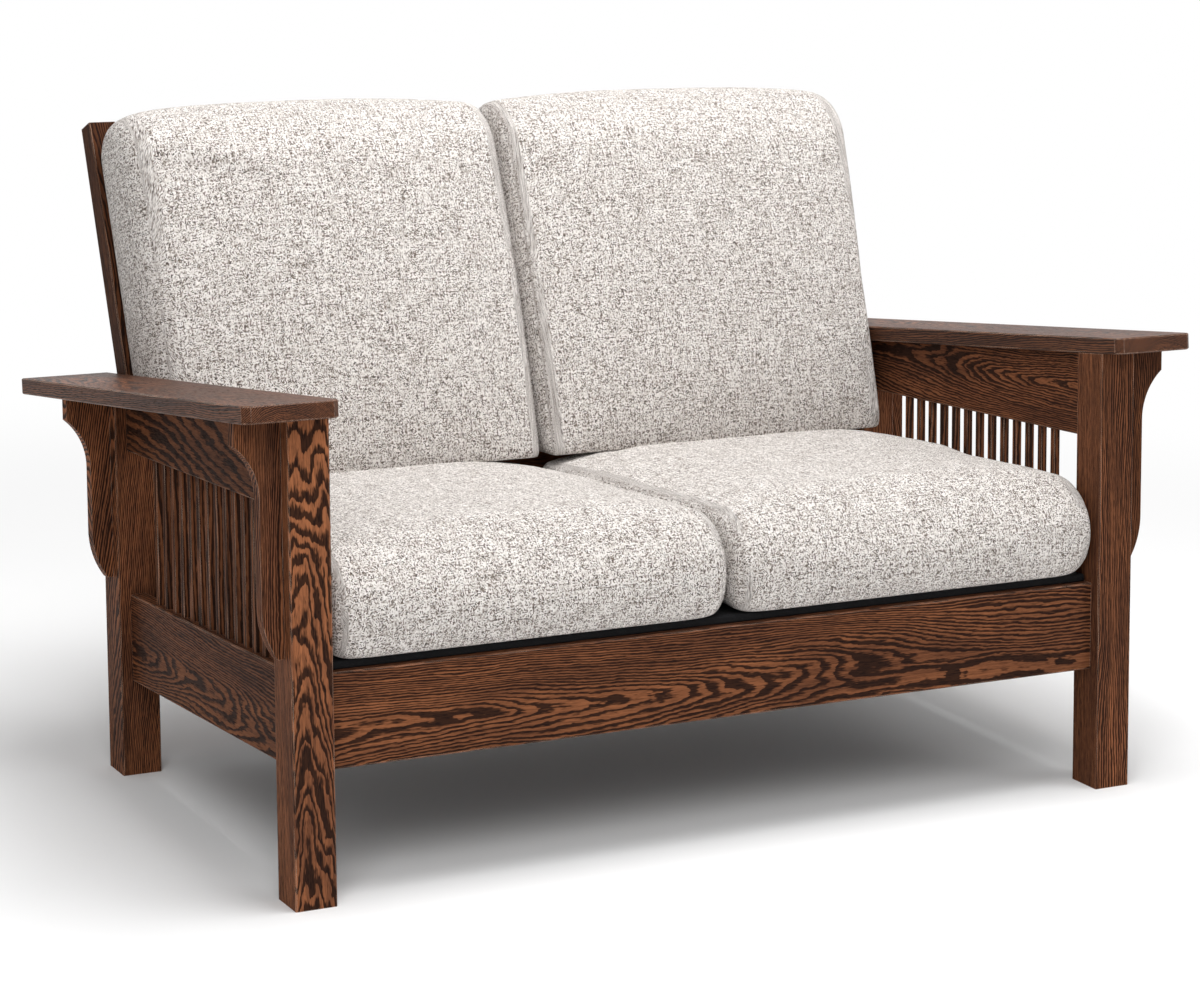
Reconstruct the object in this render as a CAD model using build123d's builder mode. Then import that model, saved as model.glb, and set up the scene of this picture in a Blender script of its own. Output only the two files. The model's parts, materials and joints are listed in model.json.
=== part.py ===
from build123d import *
import os
from math import atan2, cos, degrees, radians, sin, tan

# A two-seat settee: a stained oak frame of four square posts, flat arms on
# corbels and spindled sides, a reclined back frame, a webbed seat deck and
# four loose cushions. Every length is in millimetres.
# It is drawn square, and at the end it is leant back on its shorter rear legs.
# X runs to the right as seen from the front, Y to the back and Z up. X is 0 in
# the middle, Y at the front faces of the front posts, Z under the front feet.

# Posts
post_side = 63.5
frame_width = 1438.0
frame_depth = 755.0
rear_foot_rise = 41.0
foot_allowance = 12.0

# Lower rails, at the front, the rear and the sides
rail_thickness = 25.4
rail_height = 139.0
rail_low = 190.5
tenon_length = 22.0
tenon_thickness = 12.7
tenon_shoulder = 12.0

# Arms
arm_thickness = 25.4
arm_width = 143.5
arm_front_reach = 44.0
arm_rear_reach = 141.0
arm_clip = 10.5
arm_fall_angle = 4.3
post_tenon_side = 38.0
post_tenon_height = 14.0

# Upper side rails and spindles
upper_rail_front_height = 134.7
spindle_clear_height = 227.0
spindle_side = 11.0
spindle_pitch = 35.5
spindle_count = 13
spindle_seat = 9.0

# Corbels
corbel_thickness = 19.0
corbel_reach = 70.0
corbel_tip_height = 34.0
corbel_neck = 33.5
corbel_sweep_height = 76.0
corbel_drop = 340.5
corbel_heel = 10.0
corbel_heel_height = 74.0

# Back frame
recline_angle = 19.8
stile_depth = 41.3
stile_width = 44.5
stile_length = 770.0
back_rail_thickness = 25.4
back_tenon_length = 20.0
crest_rail_height = 92.0
crest_rail_drop = 8.0
low_back_rail_height = 76.0
low_back_rail_lift = 106.0
slat_count = 5
slat_width = 88.0
slat_thickness = 12.7
slat_seat = 16.0

# Screws that hold the back frame to the rear posts and the arms
screw_shank = 5.0
screw_head = 11.0
screw_head_height = 3.0
screw_bite = 18.0
screw_low_lift = 34.0
screw_second_lift = 82.0

# Seat deck
web_width = 50.0
web_thickness = 2.0
web_count = 11
web_pitch = 112.0
web_end_reveal = 3.0
deck_pad_thickness = 10.0
deck_pad_end_gap = 20.0
deck_pad_front_reveal = 3.0
deck_pad_back_gap = 4.0
deck_pad_corner = 8.0
stretcher_height = 88.0
stretcher_drop = 30.0
stretcher_seat = 6.0
corner_block_leg = 96.0
corner_block_height = 46.0
corner_block_drop = 18.0

# Seat cushions
seat_cushion_height = 166.0
seat_cushion_nose = 2.0
seat_cushion_nose_height = 73.0
seat_cushion_low_tuck = 34.0
seat_cushion_top_roll = 90.0
seat_cushion_back_fall = 22.0
seat_cushion_back_gap = 6.0
seat_cushion_back_swell = 5.0
seat_cushion_arch = 5.0
seat_cushion_crown = 8.0
seat_cushion_end_tuck = 12.0

# Back cushions
back_cushion_settle = 6.5
back_cushion_top = 756.0
back_cushion_low_depth = 138.0
back_cushion_mid_depth = 162.0
back_cushion_top_depth = 164.0
back_cushion_shoulder = 80.0
back_cushion_rear_shoulder = 30.0
back_cushion_top_roll = 66.0
back_cushion_crown = 10.0
back_cushion_top_crown = 20.0
back_cushion_end_tuck = 12.0

# Fits and edges
edge_ease = 1.6
spindle_ease = 0.8
fit_gap = 0.2
tenon_end_gap = 1.0
soft_gap = 0.4

# Sections of a cushion from one end to its middle: how far across its width
# each one lies, how much of the end tuck it has and how much of the crown
section_place_shares = (0.0, 0.004, 0.013, 0.03, 0.1, 0.2, 0.34, 0.5)
section_tuck_shares = (1.0, 0.5, 0.18, 0.0, 0.0, 0.0, 0.0, 0.0)
section_crown_shares = (0.0, 0.05, 0.15, 0.3, 0.51, 0.74, 0.93, 1.0)

# Places that follow from the sizes above
sides = {"left": -1, "right": 1}
half_width = frame_width / 2
inner_half = half_width - post_side
post_mid_x = half_width - post_side / 2
rear_post_front = frame_depth - post_side
post_mid_ys = {"front": post_side / 2, "rear": frame_depth - post_side / 2}
side_mid_y = frame_depth / 2
rail_inset = (post_side - rail_thickness) / 2
rail_inner = rail_inset + rail_thickness
rail_top = rail_low + rail_height
rail_mid = rail_low + rail_height / 2
upper_rail_low = rail_top + spindle_clear_height
deck_low = rail_top + web_thickness
deck_top = deck_low + deck_pad_thickness
stretcher_top = rail_top - stretcher_drop
lean = atan2(rear_foot_rise, frame_depth - post_side)
fall = radians(arm_fall_angle)
recline = radians(recline_angle)
arm_length = arm_front_reach + (frame_depth + arm_rear_reach) / cos(fall)
arm_front_height = upper_rail_low + upper_rail_front_height + post_side * tan(fall)
corbel_low = arm_front_height - corbel_drop
stile_inner = inner_half - stile_width
crest_top = stile_length - crest_rail_drop
crest_low = crest_top - crest_rail_height
low_back_rail_top = low_back_rail_lift + low_back_rail_height
slat_pitch = (2 * stile_inner + slat_width) / (slat_count + 1)
back_cushion_low = deck_top + seat_cushion_height - back_cushion_settle

floor_plane = Plane(
    origin=(0, post_side / 2, 0), x_dir=(1, 0, 0), z_dir=(0, -sin(lean), cos(lean))
)
arm_plane = Plane(
    origin=(0, 0, arm_front_height), x_dir=(1, 0, 0), z_dir=(0, sin(fall), cos(fall))
)
# On this plane the first coordinate runs backwards through the back frame and
# the second up along it, both from the front edge of the stiles' feet
back_plane = Plane(
    origin=(0, rear_post_front, rail_top),
    x_dir=(0, cos(recline), -sin(recline)),
    z_dir=(1, 0, 0),
)
stile_line = Axis(origin=(0, 0, 0), direction=back_plane.y_dir)
cushion_rest_plane = Plane(
    origin=back_plane.from_local_coords((-soft_gap, 0)),
    x_dir=(1, 0, 0),
    z_dir=back_plane.x_dir,
)

pieces = {}


def arm_underside(y):
    """The height of the arm's underside at the depth y."""
    return arm_front_height - y * tan(fall)


def block(centre, size):
    """Adds a squared block, such as a tenon."""
    with Locations(centre):
        Box(*size)


def mortise(centre, size):
    """Cuts the hole for a squared block, with its fitting gap."""
    with Locations(centre):
        Box(*(length + 2 * fit_gap for length in size), mode=Mode.SUBTRACT)


def side_rail_tenon(side, row, low, high, end_gap):
    """Centre and size of a side rail's tenon between two heights."""
    length = tenon_length + end_gap
    if row == "front":
        mid_y = post_side - length / 2
    else:
        mid_y = rear_post_front + length / 2
    centre = (side * post_mid_x, mid_y, (low + high) / 2)
    return centre, (tenon_thickness, length, high - low)


def low_side_tenon(side, row, end_gap=0.0):
    """Centre and size of a lower side rail's tenon."""
    low, high = rail_low + tenon_shoulder, rail_top - tenon_shoulder
    return side_rail_tenon(side, row, low, high, end_gap)


def upper_side_tenon(side, row, end_gap=0.0):
    """Centre and size of an upper side rail's tenon, shorter at the rear."""
    shoulder_y = post_side if row == "front" else rear_post_front
    low = upper_rail_low + tenon_shoulder
    high = arm_underside(shoulder_y) - tenon_shoulder
    return side_rail_tenon(side, row, low, high, end_gap)


def cross_rail_tenon(side, row, end_gap=0.0):
    """Centre and size of a front or rear rail's tenon."""
    length = tenon_length + end_gap
    centre = (side * (inner_half + length / 2), post_mid_ys[row], rail_mid)
    return centre, (length, tenon_thickness, rail_height - 2 * tenon_shoulder)


def arm_tenon(side, row, end_gap=0.0):
    """Centre and size of the stub tenon on a post's top, half of it sunk."""
    mid_y = post_mid_ys[row]
    height = post_tenon_height + end_gap
    centre = (side * post_mid_x, mid_y, arm_underside(mid_y))
    return centre, (post_tenon_side, post_tenon_side, 2 * height)


def back_point(back, up):
    """Depth and height of a point given on the back frame's plane."""
    point = back_plane.from_local_coords((back, up))
    return point.Y, point.Z


def arm_screw_lift():
    """How far up the stile its middle line crosses the arm's mid-plane."""
    start_y, start_z = back_point(stile_depth / 2, 0)
    arm_mid = arm_underside(start_y) + arm_thickness / cos(fall) / 2
    return (arm_mid - start_z) / (cos(recline) + sin(recline) * tan(fall))


post_screws = [
    back_point(stile_depth / 2, lift) for lift in (screw_low_lift, screw_second_lift)
]
arm_screws = [back_point(stile_depth / 2, arm_screw_lift())]


def screw_holes(places, start, depth):
    """Cuts the holes for screws that run along X from a face."""
    with BuildSketch(Plane.YZ.offset(start)) as holes:
        with Locations(*places):
            Circle(screw_shank / 2 + fit_gap)
    extrude(holes.sketch, amount=depth, mode=Mode.SUBTRACT)


def spindle_seats(side, height):
    """Cuts the square seats of a side's spindles, above and below a height."""
    seat_side = spindle_side + 2 * fit_gap
    with BuildSketch(Plane.XY.offset(height)) as seats:
        with Locations((side * post_mid_x, side_mid_y)):
            with GridLocations(spindle_pitch, spindle_pitch, 1, spindle_count):
                Rectangle(seat_side, seat_side)
    depth = spindle_seat + tenon_end_gap
    extrude(seats.sketch, amount=depth, both=True, mode=Mode.SUBTRACT)


def back_board(start, length, low, high, front, thickness):
    """Adds a board of the back frame, given on its plane and along X."""
    with BuildSketch(back_plane.offset(start)) as section:
        with Locations((front + thickness / 2, (low + high) / 2)):
            Rectangle(thickness, high - low)
    extrude(section.sketch, amount=length)


def back_cut(start, length, low, high, front, thickness):
    """Cuts the seat of such a board, with its fitting gap."""
    with BuildSketch(back_plane.offset(start - fit_gap)) as section:
        with Locations((front + thickness / 2, (low + high) / 2)):
            Rectangle(thickness + 2 * fit_gap, high - low + 2 * fit_gap)
    extrude(section.sketch, amount=length + 2 * fit_gap, mode=Mode.SUBTRACT)


# Posts, cut to the floor below and to the arm's slope above, mortised for the
# rails and tenoned into the arms
for row, mid_y in post_mid_ys.items():
    for hand, side in sides.items():
        with BuildPart() as post:
            with BuildSketch(Plane.XY.offset(-foot_allowance)):
                with Locations((side * post_mid_x, mid_y)):
                    Rectangle(post_side, post_side)
            extrude(amount=arm_front_height + 2 * foot_allowance)
            chamfer(post.edges().filter_by(Axis.Z), edge_ease)
            split(bisect_by=arm_plane, keep=Keep.BOTTOM)
            split(bisect_by=floor_plane, keep=Keep.TOP)
            block(*arm_tenon(side, row))
            mortise(*low_side_tenon(side, row, tenon_end_gap))
            mortise(*upper_side_tenon(side, row, tenon_end_gap))
            mortise(*cross_rail_tenon(side, row, tenon_end_gap))
            if row == "rear":
                hole_depth = side * (screw_bite + tenon_end_gap)
                screw_holes(post_screws, side * inner_half, hole_depth)
        pieces[f"{row}_post_{hand}"] = post

# Lower side rails, with the seats of the spindles in their tops
for hand, side in sides.items():
    with BuildPart() as low_side_rail:
        block(
            (side * post_mid_x, side_mid_y, rail_mid),
            (rail_thickness, rear_post_front - post_side, rail_height),
        )
        chamfer(low_side_rail.edges().filter_by(Axis.Y), edge_ease)
        for row in post_mid_ys:
            block(*low_side_tenon(side, row))
        spindle_seats(side, rail_top)
    pieces[f"lower_side_rail_{hand}"] = low_side_rail

# Upper side rails, level below and cut to the arm's slope above
for hand, side in sides.items():
    with BuildPart() as upper_side_rail:
        with BuildSketch(Plane.YZ.offset(side * post_mid_x)):
            Polygon(
                (post_side, upper_rail_low),
                (rear_post_front, upper_rail_low),
                (rear_post_front, arm_underside(rear_post_front)),
                (post_side, arm_underside(post_side)),
                align=None,
            )
        extrude(amount=rail_thickness / 2, both=True)
        chamfer(upper_side_rail.edges().filter_by(Axis.Y), edge_ease)
        for row in post_mid_ys:
            block(*upper_side_tenon(side, row))
        spindle_seats(side, upper_rail_low)
    pieces[f"upper_side_rail_{hand}"] = upper_side_rail

# Spindles, square and evenly spaced, seated at both ends
first_spindle_y = side_mid_y - spindle_pitch * (spindle_count - 1) / 2
for hand, side in sides.items():
    for number in range(spindle_count):
        spindle_y = first_spindle_y + number * spindle_pitch
        with BuildPart() as spindle:
            with BuildSketch(Plane.XY.offset(rail_top - spindle_seat)):
                with Locations((side * post_mid_x, spindle_y)):
                    Rectangle(spindle_side, spindle_side)
            extrude(amount=upper_rail_low - rail_top + 2 * spindle_seat)
            chamfer(spindle.edges().filter_by(Axis.Z), spindle_ease)
        pieces[f"spindle_{hand}_{number + 1:02d}"] = spindle

# Front and rear rails, housed on their inner faces for the stretcher
for row, mid_y in post_mid_ys.items():
    inwards = 1 if row == "front" else -1
    with BuildPart() as cross_rail:
        block((0, mid_y, rail_mid), (2 * inner_half, rail_thickness, rail_height))
        chamfer(cross_rail.edges().filter_by(Axis.X), edge_ease)
        for side in sides.values():
            block(*cross_rail_tenon(side, row))
        mortise(
            (
                0,
                mid_y + inwards * rail_thickness / 2,
                stretcher_top - stretcher_height / 2,
            ),
            (rail_thickness, 2 * stretcher_seat, stretcher_height),
        )
    pieces[f"{row}_rail"] = cross_rail

# Stretcher that keeps the long rails from bowing under the webbing
with BuildPart() as stretcher:
    stretcher_length = frame_depth - 2 * rail_inner + 2 * stretcher_seat
    block(
        (0, side_mid_y, stretcher_top - stretcher_height / 2),
        (rail_thickness, stretcher_length, stretcher_height),
    )
    chamfer(stretcher.edges().filter_by(Axis.Y), edge_ease)
pieces["seat_stretcher"] = stretcher

# Corner blocks, glued into the corners of the seat frame and notched round
# the posts
with BuildPart() as corner_blocks:
    corner_x = half_width - rail_inner
    corner_y = rail_inner - side_mid_y
    notch = post_side - rail_inner + fit_gap
    with BuildSketch(Plane.XY.offset(rail_top - corner_block_drop)):
        Polygon(
            (corner_x - notch, corner_y),
            (corner_x - notch, corner_y + notch),
            (corner_x, corner_y + notch),
            (corner_x, corner_y + corner_block_leg),
            (corner_x - corner_block_leg, corner_y),
            align=None,
        )
        mirror(about=Plane.YZ)
        mirror(about=Plane.XZ)
    extrude(amount=-corner_block_height)
corner_blocks.part.move(Location((0, side_mid_y, 0)))
pieces["corner_blocks"] = corner_blocks

# Arms, flat boards that fall to the rear, clipped at their front corners
for hand, side in sides.items():
    with BuildPart() as arm:
        with BuildSketch(arm_plane) as arm_outline:
            with Locations(
                (side * (inner_half + arm_width / 2), arm_length / 2 - arm_front_reach)
            ):
                Rectangle(arm_width, arm_length)
            chamfer(arm_outline.vertices().group_by(Axis.Y)[0], arm_clip)
        extrude(amount=arm_thickness)
        chamfer(arm.faces().filter_by(arm_plane).edges(), edge_ease)
        for row in post_mid_ys:
            mortise(*arm_tenon(side, row, tenon_end_gap))
        hole_depth = side * (screw_bite + tenon_end_gap)
        screw_holes(arm_screws, side * inner_half, hole_depth)
    pieces[f"arm_{hand}"] = arm

# Corbels under the arms: boards with a square tip, a hollow sweep down to a
# straight neck and a rounded heel
for row, mid_y in post_mid_ys.items():
    tip_low = arm_underside(mid_y) - corbel_tip_height
    sweep_low = tip_low - corbel_sweep_height
    heel_top = corbel_low + corbel_heel_height
    for hand, side in sides.items():
        face, neck, heel, tip = (
            side * (half_width + out)
            for out in (0, corbel_neck, corbel_heel, corbel_reach)
        )
        with BuildPart() as corbel:
            with BuildSketch(Plane.XZ.offset(-mid_y)):
                with BuildLine():
                    Polyline(
                        (heel, corbel_low),
                        (face, corbel_low),
                        (face, arm_front_height),
                        (tip, arm_front_height),
                        (tip, tip_low),
                    )
                    TangentArc((neck, sweep_low), (tip, tip_low), tangent=(0, 1))
                    Line((neck, sweep_low), (neck, heel_top))
                    TangentArc((neck, heel_top), (heel, corbel_low), tangent=(0, -1))
                make_face()
            extrude(amount=corbel_thickness / 2, both=True)
            split(bisect_by=arm_plane, keep=Keep.BOTTOM)
        pieces[f"{row}_corbel_{hand}"] = corbel

# Stiles of the back frame, on the rear rail, inside the rear posts and arms
back_rail_spans = {
    "low_back_rail": (low_back_rail_lift, low_back_rail_top),
    "crest_rail": (crest_low, crest_top),
}
tenon_inset = (back_rail_thickness - tenon_thickness) / 2
for hand, side in sides.items():
    with BuildPart() as stile:
        stile_start = min(side * stile_inner, side * inner_half)
        back_board(stile_start, stile_width, -stile_depth, stile_length, 0, stile_depth)
        chamfer(stile.edges().filter_by(stile_line), edge_ease)
        split(bisect_by=Plane.XY.offset(rail_top), keep=Keep.TOP)
        mortise_depth = back_tenon_length + tenon_end_gap
        mortise_start = min(side * stile_inner, side * (stile_inner + mortise_depth))
        for low, high in back_rail_spans.values():
            low, high = low + tenon_shoulder, high - tenon_shoulder
            back_cut(
                mortise_start, mortise_depth, low, high, tenon_inset, tenon_thickness
            )
        screw_holes(post_screws + arm_screws, side * stile_inner, side * stile_width)
    pieces[f"back_stile_{hand}"] = stile

# Rails of the back frame, tenoned into the stiles and mortised for the slats
slat_inset = (back_rail_thickness - slat_thickness) / 2
slat_low = low_back_rail_top - slat_seat
slat_high = crest_low + slat_seat
slat_starts = [
    (number - (slat_count - 1) / 2) * slat_pitch - slat_width / 2
    for number in range(slat_count)
]
for name, (low, high) in back_rail_spans.items():
    with BuildPart() as back_rail:
        back_board(
            -stile_inner, 2 * stile_inner, low, high, 0, back_rail_thickness
        )
        chamfer(back_rail.edges().filter_by(Axis.X), edge_ease)
        back_board(
            -stile_inner - back_tenon_length,
            2 * (stile_inner + back_tenon_length),
            low + tenon_shoulder,
            high - tenon_shoulder,
            tenon_inset,
            tenon_thickness,
        )
        for start in slat_starts:
            back_cut(
                start,
                slat_width,
                slat_low - tenon_end_gap,
                slat_high + tenon_end_gap,
                slat_inset,
                slat_thickness,
            )
    pieces[name] = back_rail

# Slats of the back frame
for number, start in enumerate(slat_starts):
    with BuildPart() as slat:
        back_board(start, slat_width, slat_low, slat_high, slat_inset, slat_thickness)
        chamfer(slat.edges().filter_by(stile_line), edge_ease)
    pieces[f"back_slat_{number + 1}"] = slat

# Screws through the stiles into the rear posts and the arms
with BuildPart() as back_screws:
    for side in sides.values():
        with BuildSketch(Plane.YZ.offset(side * stile_inner)):
            with Locations(*post_screws, *arm_screws):
                Circle(screw_shank / 2)
        extrude(amount=side * (stile_width + screw_bite))
        with BuildSketch(Plane.YZ.offset(side * stile_inner)):
            with Locations(*post_screws, *arm_screws):
                Circle(screw_head / 2)
        extrude(amount=-side * screw_head_height)
pieces["back_screws"] = back_screws

# Webbing, stretched from the front rail to the rear rail
with BuildPart() as seat_webbing:
    with BuildSketch(Plane.XY.offset(rail_top)):
        with Locations((0, side_mid_y)):
            with GridLocations(web_pitch, web_pitch, web_count, 1):
                Rectangle(web_width, frame_depth - 2 * (rail_inset + web_end_reveal))
    extrude(amount=web_thickness)
pieces["seat_webbing"] = seat_webbing

# Thin pad over the webbing, on the front rail's top and up to the back frame
with BuildPart() as deck_pad:
    pad_front = rail_inset + deck_pad_front_reveal
    pad_back = rear_post_front - deck_pad_back_gap
    with BuildSketch(Plane.XY.offset(deck_low)):
        with Locations((0, (pad_front + pad_back) / 2)):
            RectangleRounded(
                2 * (inner_half - deck_pad_end_gap), pad_back - pad_front, deck_pad_corner
            )
    extrude(amount=deck_pad_thickness)
    chamfer(deck_pad.faces().sort_by(Axis.Z)[-1].edges(), edge_ease)
pieces["deck_pad"] = deck_pad


def cushion_body(side, plane, draw_outline):
    """Lofts a cushion from end to end, rounded at both and crowned between them."""
    start = soft_gap if side > 0 else soft_gap - inner_half
    width = inner_half - 2 * soft_gap
    half = list(zip(section_place_shares, section_tuck_shares, section_crown_shares))
    other_half = [(1 - place, tuck, crown) for place, tuck, crown in half[-2::-1]]
    sections = []
    for place_share, tuck_share, crown_share in half + other_half:
        with BuildSketch(plane.offset(start + place_share * width)) as section:
            draw_outline(tuck_share, crown_share)
        sections.append(section.sketch)
    loft(sections, ruled=True)


def seat_cushion_outline(tuck_share, crown_share):
    """A seat cushion from the side: flat below, round at the front."""
    tuck = seat_cushion_end_tuck * tuck_share
    crown = seat_cushion_crown * crown_share
    low = deck_top + soft_gap + tuck
    top = deck_top + seat_cushion_height - tuck + crown
    back = rear_post_front - seat_cushion_back_gap - tuck
    back_top = top - seat_cushion_back_fall
    swollen_back = back + seat_cushion_back_swell
    arch_mid = (
        (seat_cushion_top_roll + back) / 2,
        (top + back_top) / 2 + seat_cushion_arch + crown / 2,
    )
    nose = (seat_cushion_nose + tuck, deck_top + seat_cushion_nose_height)
    low_front = (seat_cushion_low_tuck + tuck, low)
    top_front = (seat_cushion_top_roll, top)
    with BuildLine() as outline:
        Line(low_front, (back, low))
        ThreePointArc((back, low), (swollen_back, (low + back_top) / 2), (back, back_top))
        ThreePointArc((back, back_top), arch_mid, top_front)
        TangentArc(nose, top_front, tangent=(0, 1))
        TangentArc(nose, low_front, tangent=(0, -1))
    make_face(outline.edges())


def back_cushion_outline(tuck_share, crown_share):
    """A back cushion from the side, on the back frame's plane."""
    tuck = back_cushion_end_tuck * tuck_share

    def level_point(back):
        """The point of the cushion's level underside that far back."""
        drop = back_cushion_low + tuck - rail_top + back * sin(recline)
        return back, drop / cos(recline)

    crown = back_cushion_crown * crown_share
    rear = -soft_gap - tuck
    top = back_cushion_top - tuck + back_cushion_top_crown * crown_share
    rear_low = level_point(rear)
    front_low = level_point(tuck - back_cushion_low_depth)
    rear_top = (rear, top - back_cushion_rear_shoulder)
    shoulder = (tuck - back_cushion_top_depth - crown, top - back_cushion_shoulder)
    roll = (-back_cushion_top_roll, top)
    front_mid = (
        tuck - back_cushion_mid_depth - crown,
        (front_low[1] + shoulder[1]) / 2,
    )
    with BuildLine() as outline:
        Line(front_low, rear_low)
        Line(rear_low, rear_top)
        TangentArc(roll, rear_top, tangent=(1, 0))
        TangentArc(roll, shoulder, tangent=(-1, 0))
        ThreePointArc(shoulder, front_mid, front_low)
    make_face(outline.edges())


# Seat cushions, loose on the deck between the posts
for hand, side in sides.items():
    with BuildPart() as seat_cushion:
        cushion_body(side, Plane.YZ, seat_cushion_outline)
        split(bisect_by=Plane.XY.offset(deck_top + soft_gap), keep=Keep.TOP)
    pieces[f"seat_cushion_{hand}"] = seat_cushion

# Back cushions, loose against the back frame and on the seat cushions
for hand, side in sides.items():
    with BuildPart() as back_cushion:
        cushion_body(side, back_plane, back_cushion_outline)
        split(bisect_by=Plane.XY.offset(back_cushion_low), keep=Keep.TOP)
        split(bisect_by=cushion_rest_plane, keep=Keep.BOTTOM)
    pieces[f"back_cushion_{hand}"] = back_cushion

# The whole settee is leant back to stand on its four feet, with the middle of
# its outline over the origin
leaning = Location((0, 0, 0), (-degrees(lean), 0, 0))
for piece in pieces.values():
    piece.part.move(leaning)
box = Compound([piece.part for piece in pieces.values()]).bounding_box()
standing = Location((-box.center().X, -box.center().Y, -box.min.Z))

os.makedirs("parts", exist_ok=True)
for name, piece in pieces.items():
    piece.part.move(standing)
    piece.part.label = name
    export_step(piece.part, f"parts/{name}.step")

print(f"{len(pieces)} pieces in {box.size.X:.1f} by {box.size.Y:.1f} by {box.size.Z:.1f} mm")
print(f"leant back {degrees(lean):.2f} degrees")
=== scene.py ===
import json
import logging
import math
from dataclasses import dataclass
from enum import Enum

import bpy
import numpy as np
from mathutils import Matrix, Vector

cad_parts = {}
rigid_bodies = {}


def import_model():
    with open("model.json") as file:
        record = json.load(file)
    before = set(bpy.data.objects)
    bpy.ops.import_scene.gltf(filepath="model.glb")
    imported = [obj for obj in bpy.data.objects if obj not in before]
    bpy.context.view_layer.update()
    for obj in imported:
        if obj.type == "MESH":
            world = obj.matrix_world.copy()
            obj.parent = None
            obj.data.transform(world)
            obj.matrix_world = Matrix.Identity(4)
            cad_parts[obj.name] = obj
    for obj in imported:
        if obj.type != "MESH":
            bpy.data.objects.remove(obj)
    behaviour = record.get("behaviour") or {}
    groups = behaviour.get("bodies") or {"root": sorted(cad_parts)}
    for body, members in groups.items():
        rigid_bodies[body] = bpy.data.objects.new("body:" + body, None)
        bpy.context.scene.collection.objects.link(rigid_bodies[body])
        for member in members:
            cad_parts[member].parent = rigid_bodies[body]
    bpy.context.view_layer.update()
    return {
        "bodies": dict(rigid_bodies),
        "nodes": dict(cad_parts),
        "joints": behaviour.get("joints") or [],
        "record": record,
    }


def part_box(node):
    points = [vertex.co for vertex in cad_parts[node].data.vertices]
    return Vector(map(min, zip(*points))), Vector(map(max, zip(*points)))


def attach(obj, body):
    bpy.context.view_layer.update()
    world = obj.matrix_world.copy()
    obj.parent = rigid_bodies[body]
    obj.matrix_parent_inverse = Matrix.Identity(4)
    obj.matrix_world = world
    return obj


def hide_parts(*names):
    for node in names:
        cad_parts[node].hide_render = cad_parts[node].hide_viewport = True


"""Dresses a two-seat settee: stained oak frame, webbed seat deck and four tweed cushions.

The packed model is the fixed frame. Wooden pieces keep their own shape and get a grain that runs along
each board. Everything soft is modelled again over its plain solid. All lengths are in metres.
"""

LOG = logging.getLogger("settee")
Colour = tuple[float, float, float, float]
Triple = tuple[float, float, float]
Step = tuple[float, float]
Piece = bpy.types.Object
Mesh = bpy.types.Mesh
Material = bpy.types.Material
Node = bpy.types.Node
Outputs = bpy.types.NodeOutputs
Points = np.ndarray
Socket = bpy.types.NodeSocket
Fed = Socket | float | tuple[float, ...]
Values = tuple[Fed, ...] | dict[str | int, Fed]
FRAME_BODY = "frame"
RIGHT = Vector((1, 0, 0))
WHITE = (1.0, 1.0, 1.0, 1.0)


class GrainRun(Enum):
    """The way the boards run: which direction a piece's grain follows."""

    POST = "post"
    CROSS = "cross"
    SIDE = "side"
    ARM = "arm"
    BACK = "back"


@dataclass(frozen=True)
class Stance:
    """Directions of the settee's leaning frame, read from the joints of its loose cushions."""

    deck_forward: Vector
    back_up: Vector
    arm_fall: float = math.radians(4.3)

    @classmethod
    def from_frame(cls, frame: dict) -> "Stance":
        axes = {joint["name"]: Vector(joint["axis"]) for joint in frame["joints"]}
        return cls(axes["seat_cushion_left_pull_out"], axes["back_cushion_left_lift_out"])

    @property
    def deck_back(self) -> Vector:
        """The direction backwards along the deck."""
        return -self.deck_forward

    @property
    def post_up(self) -> Vector:
        """The direction up along the posts, square to the deck."""
        return RIGHT.cross(self.deck_back)

    @property
    def back_rear(self) -> Vector:
        """The direction backwards through the back frame, square to it."""
        return self.back_up.cross(RIGHT)

    @property
    def arm_back(self) -> Vector:
        """The direction backwards along the falling arms."""
        return math.cos(self.arm_fall) * self.deck_back - math.sin(self.arm_fall) * self.post_up

    def grain(self, run: GrainRun) -> Vector:
        """The direction of a board's grain, as a unit vector."""
        return {GrainRun.POST: self.post_up, GrainRun.CROSS: RIGHT, GrainRun.SIDE: self.deck_back,
                GrainRun.ARM: self.arm_back, GrainRun.BACK: self.back_up}[run]


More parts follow.
